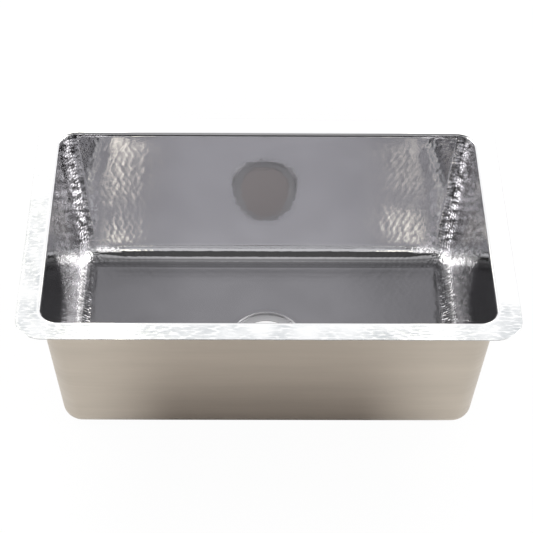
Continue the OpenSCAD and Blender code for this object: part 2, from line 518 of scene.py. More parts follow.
def hammered_walls():
    """Inner walls, from the turned-out edge to the floor's edge: a loft of rounded rectangles.

    Returns their plain rings, the same rings with marks, waves and bands, how worked each point is, and
    its place on the unrolled sheet.
    """
    heights = ring_heights(0.0, edge_cells, wall_cells, bend_cells)
    walls, turn = bowl_rings(heights, 0.0, long_cells, short_cells)
    z = heights[:, None]
    steps = np.linalg.norm(np.diff(walls[:, long_cells // 2], axis=0), axis=1)
    down = np.concatenate([[0.0], np.cumsum(steps)])[:, None]
    columns_w = round(opening_w / mark_pitch)
    columns_d = round(opening_d / mark_pitch)
    columns = columns_w + columns_d
    half_round = np.concatenate([
        (spread_cells(long_cells) + 1.0) / 2.0 * columns_w,
        columns_w + (spread_cells(short_cells) + 1.0) / 2.0 * columns_d,
    ])
    column = np.concatenate([half_round, half_round + columns])
    bend = smooth_step(floor_bend_z, floor_bend_z - floor_bend_r * 0.5, z)
    worked = worked_at(walls, turn, z, bend)
    near_end = smooth_step(end_marks_from, end_marks_to, np.abs(walls[..., 0])) * (1.0 - 0.5 * bend)
    deeper = mix(mix(1.0, mark_round_r / end_mark_r, near_end), mark_round_r / corner_mark_r, worked)
    marks = hammer_dishes(
        *np.broadcast_arrays(column, down / mark_pitch),
        mark_pitch, mark_pitch, mark_round_r, mark_tilt, 2 * columns, SEED,
    )
    fade = smooth_step(0.0, plain_band, down)
    depth = (marks * deeper + sheet_waves(walls, SEED)) * fade
    bands = bend_bands_at(walls[..., 0], walls[..., 1], walls[..., 2])
    depth = depth + bands * smooth_step(0.0, bands_end, down[-1] - down)
    hammered = walls + surface_normals(walls) * depth[..., None]
    # The last ring moves only up, so it keeps to the floor's outline
    hammered[-1] = walls[-1] + depth[-1][:, None] * np.array([0.0, 0.0, 1.0])
    sheet_u = np.append(column, 2 * columns) * mark_pitch
    sheet = np.stack(np.broadcast_arrays(sheet_u, down), axis=-1)
    return walls, hammered, worked * fade, sheet


def floor_points(x, y):
    """Points of the inner floor: its falling planes with marks and waves, plain beside the drain."""
    base = np.stack([x, y, floor_height(x, y)], axis=-1)
    marks = hammer_dishes(
        x / mark_pitch + floor_marks_start[0], y / mark_pitch + floor_marks_start[1],
        mark_pitch, mark_pitch, mark_round_r, mark_tilt, flat_mark_columns, SEED + 1,
    )
    fade = smooth_step(seat_hole_r, seat_hole_r + plain_band, np.hypot(x, y))
    base[..., 2] += (marks + sheet_waves(base, SEED)) * fade
    return base


def hammered_floor(ring, start):
    """Inner floor: a grid bordered by the walls' last ring, and rings from a window in it to the drain.

    Its points are numbered on from start. Returns the grid's points, its numbers, the numbers on the
    window's border, and the points of the rings inside that.
    """
    n = len(ring)
    last = start - n + np.arange(n + 1) % n
    xs = ring[:long_cells + 1, 0]
    ys = ring[long_cells:long_cells + short_cells + 1, 1]
    grid_x, grid_y = np.meshgrid(xs, ys)
    left = int(np.searchsorted(xs, -drain_window))
    near = int(np.searchsorted(ys, -drain_window))
    right = long_cells - left
    far = short_cells - near
    inside = np.zeros(grid_x.shape, bool)
    inside[1:-1, 1:-1] = True
    inside[near + 1:far, left + 1:right] = False
    ids = np.full(grid_x.shape, -1)
    ids[inside] = start + np.arange(inside.sum())
    ids[0, :] = last[:long_cells + 1]
    ids[:, -1] = last[long_cells:long_cells + short_cells + 1]
    ids[-1, ::-1] = last[long_cells + short_cells:2 * long_cells + short_cells + 1]
    ids[::-1, 0] = last[2 * long_cells + short_cells:]
    # The window's border, counter-clockwise from its front left corner
    border, border_x, border_y = (
        np.concatenate([
            grid[near, left:right], grid[near:far, right],
            grid[far, right:left:-1], grid[far:near:-1, left],
        ])
        for grid in (ids, grid_x, grid_y)
    )
    share = (np.arange(1, drain_cells + 1) / drain_cells)[:, None]
    radius_share = mix(1.0, seat_hole_r / np.hypot(border_x, border_y), share)
    drain_points = floor_points(border_x * radius_share, border_y * radius_share)
    return floor_points(grid_x[inside], grid_y[inside]), ids, border, drain_points


def make_bowl():
    """Bowl: a hammered inner skin and a smooth outer one, closed at the rim and round the drain."""
    walls, hammered, worked, sheet = hammered_walls()
    ring_count, n = walls.shape[:2]
    grid_points, grid_ids, border, drain_points = hammered_floor(walls[-1], ring_count * n)
    k = len(border)
    drain_start = ring_count * n + len(grid_points)
    drain_ids = np.concatenate([border[None], drain_start + np.arange(drain_cells * k).reshape(-1, k)])

    # Smooth outer skin, with fewer points, and a level land round the hole
    outer, _ = bowl_rings(ring_heights(sheet_t, *outer_steps), sheet_t, *outer_cells)
    m = outer.shape[1]
    outer_start = drain_start + drain_cells * k
    outer_ids = outer_start + np.arange(outer.shape[0] * m).reshape(-1, m)
    hole_x, hole_y = drain_points[-1, :, :2].T
    under_z = np.full(k, floor_low_z - sheet_t)
    land_share = land_r / seat_hole_r
    under_land = np.stack([hole_x * land_share, hole_y * land_share, under_z], axis=-1)
    under_hole = np.stack([hole_x, hole_y, under_z], axis=-1)
    land_ids = outer_start + outer.shape[0] * m + np.arange(k)
    hole_ids = land_ids + k

    points = np.concatenate([
        hammered.reshape(-1, 3), grid_points, drain_points.reshape(-1, 3),
        outer.reshape(-1, 3), under_land, under_hole,
    ])
    inner_quads = np.concatenate([
        ring_quads(np.arange(ring_count * n).reshape(-1, n), True),
        grid_quads(grid_ids),
        ring_quads(drain_ids, True),
    ])
    outer_quads = np.concatenate([
        ring_quads(outer_ids, False),
        ring_quads(np.stack([drain_ids[-1], hole_ids]), True),
        ring_quads(np.stack([land_ids, hole_ids]), False),
    ])
    quads = np.concatenate([inner_quads, outer_quads])
    triangles = np.concatenate([
        bridge_rings(outer_ids[0], np.arange(n), ring_shares(outer[0]), ring_shares(walls[0]), True),
        bridge_rings(outer_ids[-1], land_ids, ring_shares(outer[-1]), ring_shares(under_land), False),
    ])
    bowl = steel_piece("hammered_bowl", points, quads, triangles)
    bowl.data.materials.append(polished_steel)
    bowl.data.materials.append(satin_steel)
    slots = np.zeros(len(quads) + len(triangles), np.int32)
    slots[len(inner_quads):] = 1
    bowl.data.polygons.foreach_set("material_index", slots)
    # Places on the unrolled sheet: the walls as they go round, and the floor as it lies, far from them
    wall_places = np.stack([sheet[:-1, :-1], sheet[:-1, 1:], sheet[1:, 1:], sheet[1:, :-1]], axis=2)
    floor_places = points[inner_quads[(ring_count - 1) * n:], :2] + 4.0 * opening_w
    places = np.concatenate([wall_places.reshape(-1, 2), floor_places.reshape(-1, 2)])
    lay_sheet_map(bowl, places, worked.ravel())
    return bowl


def cut_wander_at(n):
    """How far inwards the cut edge lies at n places round the rim: a sum of seeded sine waves."""
    rng = np.random.default_rng(SEED + 2)
    way = np.arange(n) / n * 2.0 * math.pi
    wander = np.zeros(n)
    for turns in cut_turns:
        wander += np.sin(turns * way + rng.uniform(0.0, 2.0 * math.pi)) / len(cut_turns)
    return cut_wander * (0.5 + 0.5 * np.clip(wander * 2.0, -1.0, 1.0))


def rim_strokes(x, y):
    """How deep the hammer's strokes are: long dishes, deepest along the rim's front and its left side."""
    marks = hammer_dishes(
        x / rim_mark_length + rim_strokes_start[0], y / rim_mark_width + rim_strokes_start[1],
        rim_mark_width, rim_mark_width,
        rim_mark_round_r, rim_mark_tilt, flat_mark_columns, SEED + 3, rim_mark_wander,
    )
    from_front = y + rim_half_d
    on_front = 1.0 - smooth_step(*front_fade, from_front)
    on_left = 1.0 - smooth_step(*left_fade, x + rim_half_w)
    on_left = on_left * (1.0 - smooth_step(*left_back_fade, from_front))
    strength = mix(rim_least_depth, 1.0, np.maximum(on_front, on_left))
    sunk = np.maximum(np.percentile(marks, level_percent) - marks, 0.0) * strength
    return rim_most_depth * (1.0 - np.exp(-sunk / rim_most_depth))


def stroke_shade_patches(x, y, z):
    """Where the strokes get their grey painted shade: in patches that follow slow waves, and all over one
    front corner.
    """
    waves = sheet_waves(np.stack([x, y, z], axis=-1) * patch_stretch, SEED + 4)
    patches = smooth_step(patch_waves[0] * wave_height, patch_waves[1] * wave_height, waves)
    in_corner = 1.0 - smooth_step(*corner_fade, np.hypot(x + rim_half_w, y + rim_half_d))
    return np.maximum(patches, in_corner)


def make_rim():
    """Rim: a flat hammered frame round the bowl's turned-out edge, with a slightly uneven cut edge.

    Its rings run across the top, round the cut edge, back underneath, and up the inner edge.
    """
    inner_r = corner_r + edge_r + weld_gap
    cells = (rim_long_cells, rim_short_cells)
    in_x, in_y, _ = rounded_ring(edge_half_w + weld_gap, edge_half_d + weld_gap, inner_r, inner_r, *cells)
    out_x, out_y, _ = rounded_ring(rim_half_w, rim_half_d, rim_corner_r, rim_corner_r, *cells)
    n = len(in_x)
    width = np.hypot(out_x - in_x, out_y - in_y)
    cut = cut_wander_at(n)
    out_share = 1.0 - cut / width
    top_share = out_share - cut_edge[-1][0] / width
    share = np.linspace(0.0, 1.0, rim_width_cells + 1)[:, None] * top_share
    x = mix(in_x, out_x, share)
    y = mix(in_y, out_y, share)
    across = share * width
    sunk = rim_strokes(x, y)
    near_cut = smooth_step(0.0, cut_fade, width - cut - across)
    kept = smooth_step(0.0, weld_fade, across) * mix(cut_depth_share, 1.0, near_cut)
    top = rim_top_z - sunk * kept
    rings = [np.stack([x, y, top], axis=-1)]
    for inset, drop in cut_edge:
        share_out = out_share - inset / width
        z = rim_top_z - drop + (top[-1] - rim_top_z) * (drop < cut_edge_top)
        ring = [mix(in_x, out_x, share_out), mix(in_y, out_y, share_out), z]
        rings.append(np.stack(ring, axis=-1)[None])
    rings.append(np.stack([in_x, in_y, np.full(n, rim_top_z - rim_t)], axis=-1)[None])
    points = np.concatenate(rings)
    ids = np.arange(points.shape[0] * n).reshape(-1, n)
    ids = np.concatenate([ids, ids[:1]])
    rim = steel_piece("hammered_rim", points.reshape(-1, 3), ring_quads(ids, False), NO_TRIANGLES)
    rim.data.materials.append(rim_steel)
    # Grey painted shade in the deeper strokes, kept at each point for the finish
    painted_stroke_shade = smooth_step(hollow_from, hollow_to, sunk) * stroke_shade_patches(x, y, top)
    keep_share(rim, "painted_stroke_shade", (painted_stroke_shade * smooth_step(0.0, hollow_weld_fade, across)).ravel())
    return rim


def seat_side(depth):
    """Half of the drain seat's section, from the lip in to the hole, depth below its top side.

    The lip is level, a bend turns it down the steep step, and a second bend ends in the level ledge.
    """
    turns = np.linspace(math.pi / 2.0, math.pi / 2.0 + seat_slope, seat_bend_cells + 1)
    high_r = seat_bend_r + seat_t - depth
    low_r = seat_bend_r + depth
    high_z = floor_low_z - seat_bend_r - seat_t
    high = [recess_r + high_r * np.cos(turns), high_z + high_r * np.sin(turns)]
    back = turns[::-1]
    low = [ledge_r - low_r * np.cos(back), ledge_z + seat_bend_r - low_r * np.sin(back)]
    lip = [[seat_r], [floor_low_z - depth]]
    ledge = [[drain_r + hole_round], [ledge_z - depth]]
    return np.concatenate([lip, high, low, ledge], axis=1)


def make_drain_seat():
    """Drain seat: a closed sheet section with a rounded hole edge, carried once round the middle."""
    edge = np.linspace(math.pi / 2.0, 3.0 * math.pi / 2.0, hole_edge_cells + 1)[1:-1]
    hole_z = ledge_z - seat_t / 2.0
    hole = [drain_r + hole_round + hole_round * np.cos(edge), hole_z + seat_t / 2.0 * np.sin(edge)]
    under = seat_side(seat_t)[:, ::-1]
    r, z = np.concatenate([seat_side(0.0), hole, under], axis=1)
    angle = np.arange(seat_rounds) / seat_rounds * 2.0 * math.pi
    heights = np.broadcast_to(z[:, None], (len(z), seat_rounds))
    rings = np.stack([r[:, None] * np.cos(angle), r[:, None] * np.sin(angle), heights], axis=-1)
    ids = np.arange(len(z) * seat_rounds).reshape(-1, seat_rounds)
    ids = np.concatenate([ids, ids[:1]])
    seat = steel_piece("pressed_drain_seat", rings.reshape(-1, 3), ring_quads(ids, True), NO_TRIANGLES)
    seat.data.materials.append(turned_steel)
    seat.data.materials.append(polished_steel)
    # The lip is polished with the floor
    slots = np.zeros(len(seat.data.polygons), np.int32)
    slots[:len(z) * seat_rounds] = np.repeat(r > (recess_r + seat_r) / 2.0, seat_rounds)
    seat.data.polygons.foreach_set("material_index", slots)
    return seat


def under_floor(x, y):
    """Height of the bowl's underside: it falls in straight lines from its edge to the level land."""
    reach = np.hypot(x, y)
    edge_z = floor_edge_z - sheet_t
    half_w = float(half_size(opening_w, edge_z, end_lean, sheet_t))
    half_d = float(half_size(opening_d, edge_z, side_lean, sheet_t))
    share = np.maximum(np.abs(x) / half_w, np.abs(y) / half_d)
    edge_reach = reach / np.maximum(share, MM)
    return edge_z - floor_fall * (edge_reach - reach) / (edge_reach - land_r)


def make_sound_pad(name, side):
    """Sound pad: a rubber sheet with rounded edges that follows the underside of the floor.

    Its rings run from the middle of its top face out to a rounded edge, down, and back in underneath.
    """
    edge_z = floor_edge_z - sheet_t
    inner_x = seat_r + pad_gap
    outer_x = float(half_size(opening_w, edge_z, end_lean, sheet_t)) - pad_margin
    middle_x = side * (inner_x + outer_x) / 2.0
    half_w = (outer_x - inner_x) / 2.0
    half_d = float(half_size(opening_d, edge_z, side_lean, sheet_t)) - pad_margin
    turns = np.linspace(0.0, math.pi / 2.0, pad_edge_cells + 1)
    face = np.linspace(pad_first_ring, 1.0, pad_rings)
    inset = pad_round * (1.0 - np.sin(turns[1:]))
    drop = pad_round * (1.0 - np.cos(turns[1:]))
    # Share of the outline, distance inside it, and distance under the floor, ring by ring
    share = np.concatenate([face, np.ones(2 * len(inset)), face[::-1]])
    round_in = np.full(len(face), pad_round)
    inside = np.concatenate([round_in, inset, inset[::-1], round_in])
    under = np.concatenate([np.zeros(len(face)), drop, pad_t - drop[::-1], np.full(len(face), pad_t)])
    x, y, _ = rounded_ring(
        half_w - inside[:, None], half_d - inside[:, None],
        pad_corner_r - inside[:, None], pad_corner_r - inside[:, None], *pad_cells,
    )
    x = middle_x + x * share[:, None]
    y = y * share[:, None]
    z = under_floor(x, y) - glue_t - under[:, None]
    n = x.shape[1]
    middle_z = float(under_floor(np.array(middle_x), np.array(0.0))) - glue_t
    points = np.concatenate([
        np.stack([x, y, z], axis=-1).reshape(-1, 3),
        [[middle_x, 0.0, middle_z], [middle_x, 0.0, middle_z - pad_t]],
    ])
    ids = np.arange(x.size).reshape(-1, n)
    top = np.full(n, x.size)
    first, last = ids[0], ids[-1]
    triangles = np.concatenate([
        np.stack([top, first, np.roll(first, -1)], axis=-1),
        np.stack([top + 1, np.roll(last, -1), last], axis=-1),
    ])
    pad = steel_piece(name, points, ring_quads(ids, False), triangles)
    pad.data.materials.append(rubber)
    return pad


# Finishes. Two colours are the ends of a mix. Four numbers are a range and what it is mapped to

PLAIN = (1.0, 1.0, 1.0)

# Polished steel: its clouds, as cycles to the metre and detail, its colours, how the floor is tinted,
# and how rough the walls are. The floor is rougher by this much, and the bends at its ends, from just
# inside to just past the floor's edge, by more
polished_clouds = (9.0, 3.0)
polished_colours = ((0.524, 0.523, 0.533), (0.549, 0.548, 0.558))
floor_tint = (1.10, 1.085, 1.12)
wall_rough = (0.35, 0.7, 0.045, 0.075)
floor_rough = 0.055
end_bend_rough = 0.15
end_bend_inside = 8.0
end_bend_past = 4.0
# It is duller where it was worked: most between the fine marks, and in slanting streaks; in the bends it
# is lighter, a painted highlight, and their heights are shares of the bend's top. The floor is darker
# towards its ends, a painted shade, and duller in stains
fine_unevenness = 0.55
between_marks = (0.05, 0.35, 0.2, 1.6)
streak_noise = (95.0, 1.5)
streak_stretch = 0.18
streaks_range = (0.38, 0.62, -2.2, 2.8)
bend_heights = (0.7, 1.6)
# Below zero the bends get lighter: a painted highlight
bend_dull_and_painted_highlight = (-0.5, 1.0)
# Painted shade: the floor's colour darkens towards its ends
painted_end_shade = (0.10, 0.28, 0.0, 1.0)
stain_noise = (11.0, 1.0)
stain_dulling = (0.42, 0.62, 0.0, 0.22)
dull_and_light_share = 0.22

# Satin, rim and turned steel, and the pads' rubber. Noise is cycles to the metre, detail and stretch, and
# relief is its depth in metres and its strength
satin_clouds = (9.0, 5.0, (0.35, 0.35, 4.0))
satin_brush = (260.0, 3.0, (0.04, 0.04, 1.0))
satin_colours = ((0.435, 0.388, 0.332), (0.555, 0.497, 0.425))
satin_rough = (0.3, 0.7, 0.33, 0.45)
satin_relief = (0.00004, 0.35)
rim_clouds = (22.0, 3.0)
rim_grain = (900.0, 3.0)
# The rim's steel, then the grey of the painted shade in its strokes
rim_steel_and_shade_colours = ((0.575, 0.578, 0.583), (0.33, 0.345, 0.36))
rim_stroke_shade_range = (0.35, 0.65, 0.2, 1.0)
rim_rough = (0.35, 0.7, 0.14, 0.22)
rim_relief = (0.00002, 0.15)
turned_clouds = (60.0, 3.0)
turned_grain = (1500.0, 2.0)
turned_colours = ((0.43, 0.428, 0.445), (0.46, 0.458, 0.473))
turned_rough = (0.35, 0.7, 0.42, 0.5)
turned_relief = (0.00001, 0.2)
rubber_clouds = (30.0, 4.0)
rubber_colours = ((0.045, 0.045, 0.047), (0.07, 0.07, 0.072))
rubber_rough = 0.82
pebbles_per_metre = 420.0
pebble_relief = (0.0004, 0.6)


def new_finish(name, metal=1.0):
    """Material with a Principled shader, and the coordinates that its patterns read."""
    finish = bpy.data.materials.new(name)
    finish.use_nodes = True
    tree = finish.node_tree
    shader = tree.nodes["Principled BSDF"]
    shader.inputs["Metallic"].default_value = metal
    place = tree.nodes.new("ShaderNodeTexCoord").outputs["Object"]
    return finish, tree, shader, place


def add_noise(tree, place, scale, detail, stretch=PLAIN):
    """Noise of about scale cycles to the metre, stretched along an axis where its number is under 1."""
    mapping = tree.nodes.new("ShaderNodeMapping")
    mapping.inputs["Scale"].default_value = stretch
    noise = tree.nodes.new("ShaderNodeTexNoise")
    noise.inputs["Scale"].default_value = scale
    noise.inputs["Detail"].default_value = detail
    tree.links.new(place, mapping.inputs["Vector"])
    tree.links.new(mapping.outputs["Vector"], noise.inputs["Vector"])
    return noise.outputs["Fac"]


def add_range(tree, value, low, high, to_low, to_high, kind="LINEAR"):
    """Maps a value from one range to another, and holds it there."""
    node = tree.nodes.new("ShaderNodeMapRange")
    node.interpolation_type = kind
    node.inputs["From Min"].default_value = low
    node.inputs["From Max"].default_value = high
    node.inputs["To Min"].default_value = to_low
    node.inputs["To Max"].default_value = to_high
    tree.links.new(value, node.inputs["Value"])
    return node.outputs["Result"]


def add_colour_mix(tree, share, colour_a, colour_b):
    """Mix of two colours by a share between 0 and 1."""
    node = tree.nodes.new("ShaderNodeMix")
    node.data_type = "RGBA"
    node.inputs[6].default_value = (*colour_a, 1.0)
    node.inputs[7].default_value = (*colour_b, 1.0)
    tree.links.new(share, node.inputs[0])
    return node.outputs[2]


def add_bump(tree, shader, height, distance, strength):
    """Fine relief from a height, distance in metres."""
    bump = tree.nodes.new("ShaderNodeBump")
    bump.inputs["Distance"].default_value = distance
    bump.inputs["Strength"].default_value = strength
    tree.links.new(height, bump.inputs["Height"])
    tree.links.new(bump.outputs["Normal"], shader.inputs["Normal"])


def math_node(tree, operation, first, second=0.0):
    """One arithmetic node: each of first and second is an output or a plain number."""
    node = tree.nodes.new("ShaderNodeMath")
    node.operation = operation
    for socket, value in zip(node.inputs, (first, second)):
        if isinstance(value, (int, float)):
            socket.default_value = value
        else:
            tree.links.new(value, socket)
    return node.outputs[0]


def vector_node(tree, operation, first):
    """One node of arithmetic on colours or places, with its first input linked."""
    node = tree.nodes.new("ShaderNodeVectorMath")
    node.operation = operation
    tree.links.new(first, node.inputs[0])
    return node


def kept_share(tree, name):
    """The number that a piece keeps at each point under this name."""
    node = tree.nodes.new("ShaderNodeAttribute")
    node.attribute_name = name
    return node.outputs["Fac"]


def add_fine_marks(tree, shader, worked):
    """Marks of a fine hammer on the unrolled sheet, as a relief that is as deep as each place was worked.

    They are dishes too: their height is the square of the distance to the nearest centre. Returns that.
    """
    sheet = tree.nodes.new("ShaderNodeUVMap")
    sheet.uv_map = "sheet"
    dishes = tree.nodes.new("ShaderNodeTexVoronoi")
    dishes.inputs["Scale"].default_value = 1.0 / (fine_pitch * MM)
    dishes.inputs["Randomness"].default_value = fine_unevenness
    tree.links.new(sheet.outputs["UV"], dishes.inputs["Vector"])
    square = math_node(tree, "MULTIPLY", dishes.outputs["Distance"], dishes.outputs["Distance"])
    dish_height = (fine_pitch * MM) ** 2 / (2.0 * fine_round_r * MM)
    depth = math_node(tree, "MULTIPLY", square, dish_height)
    add_bump(tree, shader, math_node(tree, "MULTIPLY", depth, worked), distance=1.0, strength=1.0)
    return square


def slanting_streaks(tree, x, y, z):
    """Noise drawn out along a slant that runs backwards and down."""
    slant = tree.nodes.new("ShaderNodeCombineXYZ")
    tree.links.new(x, slant.inputs["X"])
    tree.links.new(math_node(tree, "ADD", y, z), slant.inputs["Y"])
    along = math_node(tree, "SUBTRACT", y, z)
    tree.links.new(math_node(tree, "MULTIPLY", along, streak_stretch), slant.inputs["Z"])
    return add_range(tree, add_noise(tree, slant.outputs[0], *streak_noise), *streaks_range)


def polished_hammered_steel():
    """Inside of the bowl: polished until it mirrors, cloudier on the floor, with a fine hammer's marks."""
    finish, tree, shader, place = new_finish("polished_hammered_steel")
    clouds = add_noise(tree, place, *polished_clouds)
    axes = tree.nodes.new("ShaderNodeSeparateXYZ")
    tree.links.new(place, axes.inputs[0])
    x, y, z = axes.outputs
    off_middle = math_node(tree, "ABSOLUTE", x)
    on_floor = add_range(tree, z, 0.5 * floor_bend_z * MM, floor_edge_z * MM, 0.0, 1.0)
    past_edge = add_range(
        tree, off_middle, (floor_half_w - end_bend_inside) * MM, (floor_half_w + end_bend_past) * MM,
        floor_rough, end_bend_rough,
    )
    rougher = math_node(tree, "MULTIPLY", on_floor, past_edge)
    rough = math_node(tree, "ADD", add_range(tree, clouds, *wall_rough), rougher)
    tree.links.new(rough, shader.inputs["Roughness"])

    # Duller where it was worked, and lighter in the bends, a painted highlight
    worked = kept_share(tree, "worked")
    square = add_fine_marks(tree, shader, worked)
    streaks = slanting_streaks(tree, x, y, z)
    uneven = math_node(tree, "ADD", add_range(tree, square, *between_marks), streaks)
    low, high = (share * floor_bend_z * MM for share in bend_heights)
    # In the bends this turns below zero, so they get a painted highlight
    wall_dull_bend_highlight = add_range(tree, z, low, high, *bend_dull_and_painted_highlight)
    worked_dull_and_bend_highlight = math_node(tree, "MULTIPLY", math_node(tree, "MULTIPLY", worked, uneven), wall_dull_bend_highlight)
    # Painted shade: the floor's colour darkens towards its ends
    end_painted_shade = add_range(tree, off_middle, *painted_end_shade, "SMOOTHSTEP")
    stains = add_range(tree, add_noise(tree, place, *stain_noise), *stain_dulling, "SMOOTHSTEP")
    floor_stains_and_end_shade = math_node(tree, "MULTIPLY", math_node(tree, "ADD", end_painted_shade, stains), on_floor)

    # Its colour, less what is lost to dullness and to the painted shade at the floor's ends, and more in
    # the bends by the painted highlight
    dull_and_painted_light = math_node(tree, "ADD", floor_stains_and_end_shade, worked_dull_and_bend_highlight)
    kept = math_node(tree, "SUBTRACT", 1.0, math_node(tree, "MULTIPLY", dull_and_painted_light, dull_and_light_share))
    bright = vector_node(tree, "MULTIPLY", add_colour_mix(tree, clouds, *polished_colours))
    tree.links.new(add_colour_mix(tree, on_floor, PLAIN, floor_tint), bright.inputs[1])
    colour = vector_node(tree, "SCALE", bright.outputs["Vector"])
    tree.links.new(kept, colour.inputs["Scale"])
    tree.links.new(colour.outputs["Vector"], shader.inputs["Base Color"])
    return finish


def satin_brushed_steel():
    """Outside of the bowl: plain drawn sheet, warm and satin, brushed along its length."""
    finish, tree, shader, place = new_finish("satin_brushed_steel")
    clouds = add_noise(tree, place, *satin_clouds)
    brush = add_noise(tree, place, *satin_brush)
    tree.links.new(add_colour_mix(tree, clouds, *satin_colours), shader.inputs["Base Color"])
    tree.links.new(add_range(tree, brush, *satin_rough), shader.inputs["Roughness"])
    add_bump(tree, shader, brush, *satin_relief)
    return finish


def hammered_rim_steel():
    """Rim: hammered and brushed bright, a little rougher than the bowl, with grey painted shade in its
    strokes.
    """
    finish, tree, shader, place = new_finish("hammered_rim_steel")
    clouds = add_noise(tree, place, *rim_clouds)
    uneven = add_range(tree, clouds, *rim_stroke_shade_range)
    # Painted shade in the strokes, unevenly grey
    grey = math_node(tree, "MULTIPLY", kept_share(tree, "painted_stroke_shade"), uneven)
    tree.links.new(add_colour_mix(tree, grey, *rim_steel_and_shade_colours), shader.inputs["Base Color"])
    tree.links.new(add_range(tree, clouds, *rim_rough), shader.inputs["Roughness"])
    add_bump(tree, shader, add_noise(tree, place, *rim_grain), *rim_relief)
    return finish


def smooth_turned_steel():
    """Drain seat: pressed smooth and satin."""
    finish, tree, shader, place = new_finish("smooth_turned_steel")
    clouds = add_noise(tree, place, *turned_clouds)
    tree.links.new(add_colour_mix(tree, clouds, *turned_colours), shader.inputs["Base Color"])
    tree.links.new(add_range(tree, clouds, *turned_rough), shader.inputs["Roughness"])
    add_bump(tree, shader, add_noise(tree, place, *turned_grain), *turned_relief)
    return finish


def pad_rubber():
    """Sound pads: dark grey rubber with a fine pebbled face."""
    finish, tree, shader, place = new_finish("pad_rubber", metal=0.0)
    clouds = add_noise(tree, place, *rubber_clouds)
    tree.links.new(add_colour_mix(tree, clouds, *rubber_colours), shader.inputs["Base Color"])
    shader.inputs["Roughness"].default_value = rubber_rough
    pebbles = tree.nodes.new("ShaderNodeTexVoronoi")
    pebbles.inputs["Scale"].default_value = pebbles_per_metre
    tree.links.new(place, pebbles.inputs["Vector"])
    add_bump(tree, shader, pebbles.outputs["Distance"], *pebble_relief)
    return finish


# Stage

# Share of plain white that the floor's paint is lifted by, for what looks at it
floor_glow_share = 0.97
floor_white = (0.86, 0.86, 0.86)
# What mirrors the floor sees a painted shadow of the sink, which clears at this distance in metres from
# its core.
# The core is as deep as the bowl's floor, and narrower, and it clears this many times faster to the sides
painted_shadow_colour = (0.29, 0.275, 0.28)
shadow_reach = 0.86
core_half_w = 0.15
side_reach = 4.0
# Right under the bowl the painted shadow is lighter, up to this distance from the core
painted_under_shadow = (0.42, 0.39, 0.395)
under_edge = 0.03


def floor_paint_with_painted_shadow():
    """Floor: white paint with a painted shadow round the sink, lifted to white for what looks at it."""
    finish = bpy.data.materials.new("floor_paint_with_painted_shadow")
    finish.use_nodes = True
    tree = finish.node_tree
    tree.nodes.clear()
    out = tree.nodes.new("ShaderNodeOutputMaterial")
    paint = tree.nodes.new("ShaderNodeBsdfDiffuse")
    glow = tree.nodes.new("ShaderNodeEmission")
    glow.inputs["Strength"].default_value = 1.0
    path = tree.nodes.new("ShaderNodeLightPath")
    place = tree.nodes.new("ShaderNodeSeparateXYZ")
    tree.links.new(tree.nodes.new("ShaderNodeTexCoord").outputs["Object"], place.inputs[0])
    # Distance from the painted shadow's core
    past = []
    for axis, half, reach in (("X", core_half_w, side_reach), ("Y", floor_half_d * MM, 1.0)):
        off = math_node(tree, "ABSOLUTE", place.outputs[axis])
        over = math_node(tree, "MAXIMUM", math_node(tree, "SUBTRACT", off, half), 0.0)
        over = math_node(tree, "MULTIPLY", over, reach)
        past.append(math_node(tree, "MULTIPLY", over, over))
    distance = math_node(tree, "SQRT", math_node(tree, "ADD", *past))
    clear = add_range(tree, distance, 0.0, shadow_reach, 0.0, 1.0)
    # Painted shadow: the paint darkens to a brown-grey near the sink
    beside = add_colour_mix(tree, clear, painted_shadow_colour, floor_white)
    under = tree.nodes.new("ShaderNodeMix")
    under.data_type = "RGBA"
    under.inputs[6].default_value = (*painted_under_shadow, 1.0)
    tree.links.new(beside, under.inputs[7])
    tree.links.new(add_range(tree, distance, 0.0, under_edge, 0.0, 1.0), under.inputs[0])
    tree.links.new(under.outputs[2], paint.inputs["Color"])
    is_glossy, is_through = path.outputs["Is Glossy Ray"], path.outputs["Is Transmission Ray"]
    # What mirrors the floor sees no glow within the painted shadow
    mirrored = math_node(tree, "MULTIPLY", math_node(tree, "MAXIMUM", is_glossy, is_through), clear)
    seen = math_node(tree, "MAXIMUM", path.outputs["Is Camera Ray"], mirrored)
    blend = tree.nodes.new("ShaderNodeMixShader")
    tree.links.new(math_node(tree, "MULTIPLY", seen, floor_glow_share), blend.inputs["Fac"])
    tree.links.new(paint.outputs[0], blend.inputs[1])
    tree.links.new(glow.outputs[0], blend.inputs[2])
    tree.links.new(blend.outputs[0], out.inputs["Surface"])
    return finish


# Studio floor: the radii of its rings, and the cove that turns up at its far edge
studio_rings = (400.0, 1200.0, 3000.0, 6000.0, 9000.0)
cove_r = 1500.0
cove_turn = math.radians(80.0)
cove_cells = 12
studio_rounds = 96


def make_studio_floor():
    """Round studio floor that turns up at its far edge: a profile carried round the middle."""
    rise = np.linspace(0.0, cove_turn, cove_cells + 1)[1:]
    radius = np.concatenate([studio_rings, studio_rings[-1] + cove_r * np.sin(rise)])
    height = np.concatenate([np.zeros(len(studio_rings)), cove_r * (1.0 - np.cos(rise))])
    angle = np.arange(studio_rounds) / studio_rounds * 2.0 * math.pi
    heights = np.broadcast_to(height[:, None], (len(radius), studio_rounds))
    rings = np.stack([radius[:, None] * np.cos(angle), radius[:, None] * np.sin(angle), heights], axis=-1)
    points = np.concatenate([rings.reshape(-1, 3), [[0.0, 0.0, 0.0]]])
    ids = np.arange(len(radius) * studio_rounds).reshape(-1, studio_rounds)
    middle = np.full(studio_rounds, len(points) - 1)
    triangles = np.stack([middle, ids[0], np.roll(ids[0], -1)], axis=-1)
    floor = steel_piece("studio_floor", points, ring_quads(ids, False), triangles, math.pi)
    floor.data.materials.append(floor_paint_with_painted_shadow())
    return floor


